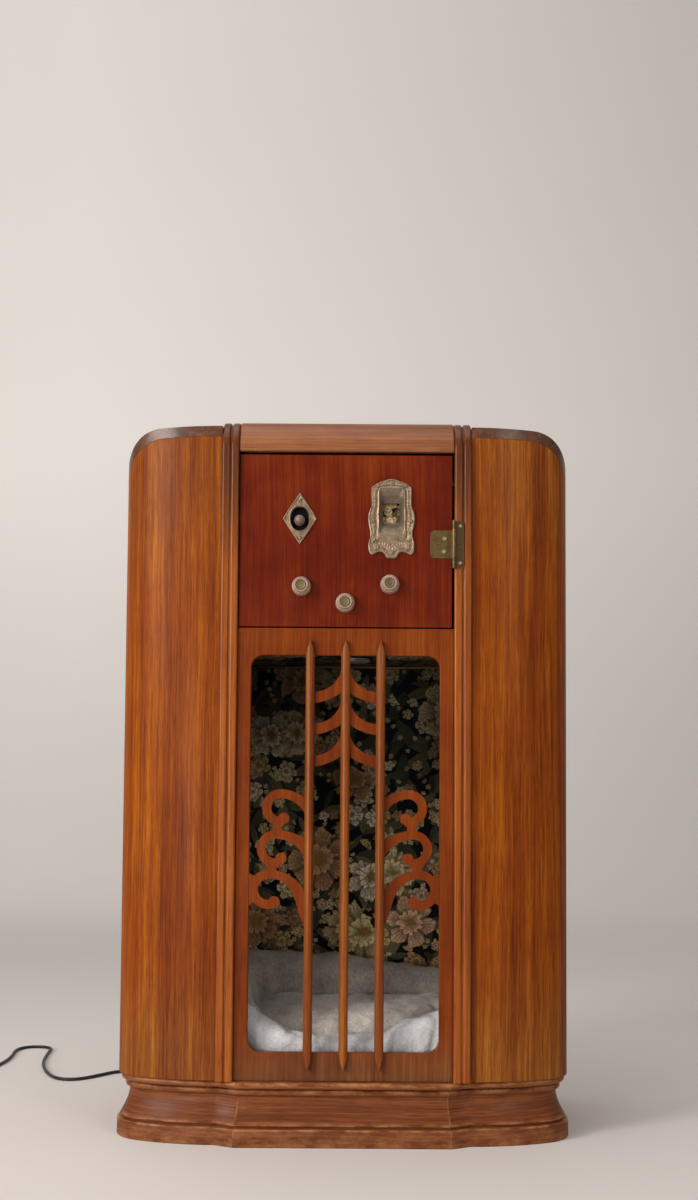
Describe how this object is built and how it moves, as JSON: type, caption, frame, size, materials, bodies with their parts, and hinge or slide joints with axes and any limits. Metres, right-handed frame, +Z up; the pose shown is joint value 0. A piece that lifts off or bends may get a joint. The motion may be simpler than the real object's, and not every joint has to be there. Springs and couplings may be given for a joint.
{
  "type": "console radio cabinet pet den",
  "caption": "Bow-fronted wooden floor cabinet with a fretwork grille, hinged control-panel door, cloth-lined den with a plush bed, and a mains cord.",
  "frame": {"origin": "centre of the underside of the cabinet, without its cord", "axes": "+Z up, the grille and radio door face -Y, +X to the right seen from the front"},
  "size_m": [1.041, 0.7627, 1.031],
  "materials": {
    "side_wood": "varnished, vertical grain",
    "dark_wood": "dark stained, polished",
    "trim_wood": "varnished, glossy",
    "base_wood": "varnished, worn at the edges",
    "inner_wood": "plain plywood and pine",
    "door_wood": "red mahogany veneer, varnished",
    "floral_cloth": "woven cloth, pale flowers on a near-black ground",
    "aged_brass": "aged and dull, bright at the edges",
    "steel": "plain",
    "black_plastic": "matte",
    "brown_plastic": "moulded, semi-gloss",
    "lens": "frosted",
    "plush": "short grey plush",
    "black_rubber": "matte"
  },
  "bodies": {
    "cabinet": {"back_hinge_frame_leaf": "steel", "back_hinge_pin": "steel", "base_glue_blocks": "inner_wood", "base_moulding_front": "base_wood", "base_moulding_left": "base_wood", "base_moulding_right": "base_wood", "base_rear_rail": "inner_wood", "base_slab_front": "base_wood", "base_slab_left": "base_wood", "base_slab_right": "base_wood", "bed_bolster": "plush", "bed_cushion": "plush", "bottom_board": "inner_wood", "cord_coil": "black_rubber", "cord_gland": "black_plastic", "door_catch": "black_plastic", "fretwork": "trim_wood", "grille_bar_center": "trim_wood", "grille_bar_left": "trim_wood", "grille_bar_right": "trim_wood", "grille_panel": "trim_wood", "hinge_frame_leaf": "aged_brass", "hinge_frame_screws": "aged_brass", "hinge_pin": "aged_brass", "lamp_body": "black_plastic", "lamp_lead": "black_rubber", "lamp_lens": "lens", "lining_ceiling": "floral_cloth", "lining_left": "floral_cloth", "lining_right": "floral_cloth", "mains_cord": "black_rubber", "pilaster_left": "trim_wood", "pilaster_right": "trim_wood", "plug": "black_plastic", "radio_shelf": "inner_wood", "side_panel_left": "side_wood", "side_panel_right": "side_wood", "top_cap": "trim_wood", "top_side_left": "dark_wood", "top_side_right": "dark_wood"},
    "front_door": {"front_door": "door_wood", "door_lining": "floral_cloth", "dial_cloth": "floral_cloth", "dial_escutcheon": "aged_brass", "diamond_escutcheon": "aged_brass", "toggle_switch": "black_plastic", "rotary_controls": "steel", "hinge_door_leaf": "aged_brass", "door_screws": "aged_brass", "catch_strike": "steel"},
    "knob_volume": {"knob_volume": "brown_plastic", "shaft_volume": "steel"},
    "knob_tuning": {"knob_tuning": "brown_plastic", "shaft_tuning": "steel"},
    "knob_tone": {"knob_tone": "brown_plastic", "shaft_tone": "steel"},
    "toggle": {"toggle_lever": "brown_plastic"},
    "back_door": {"back_door": "inner_wood", "back_door_lining": "floral_cloth", "back_hinge_door_leaf": "steel"}
  },
  "joints": [
    {"name": "front_door_hinge", "type": "hinge", "parent": "cabinet", "child": "front_door", "pos_m": [0.1526, -0.1654, 0.8462], "axis": [0, 0, 1], "range_deg": [0, 100]},
    {"name": "volume_knob_turn", "type": "hinge", "parent": "front_door", "child": "knob_volume", "pos_m": [-0.064, -0.155, 0.7845], "axis": [0, -1, 0], "range_deg": [-150, 150]},
    {"name": "tuning_knob_turn", "type": "hinge", "parent": "front_door", "child": "knob_tuning", "pos_m": [-0.0015, -0.155, 0.761], "axis": [0, -1, 0], "continuous": true},
    {"name": "tone_knob_turn", "type": "hinge", "parent": "front_door", "child": "knob_tone", "pos_m": [0.062, -0.155, 0.788], "axis": [0, -1, 0], "range_deg": [-150, 150]},
    {"name": "toggle_tip", "type": "hinge", "parent": "front_door", "child": "toggle", "pos_m": [-0.067, -0.144, 0.882], "axis": [-1, 0, 0], "range_deg": [0, 24]},
    {"name": "back_door_hinge", "type": "hinge", "parent": "cabinet", "child": "back_door", "pos_m": [0.3185, 0.1698, 0.55], "axis": [0, 0, -1], "range_deg": [0, 110]}
  ]
}
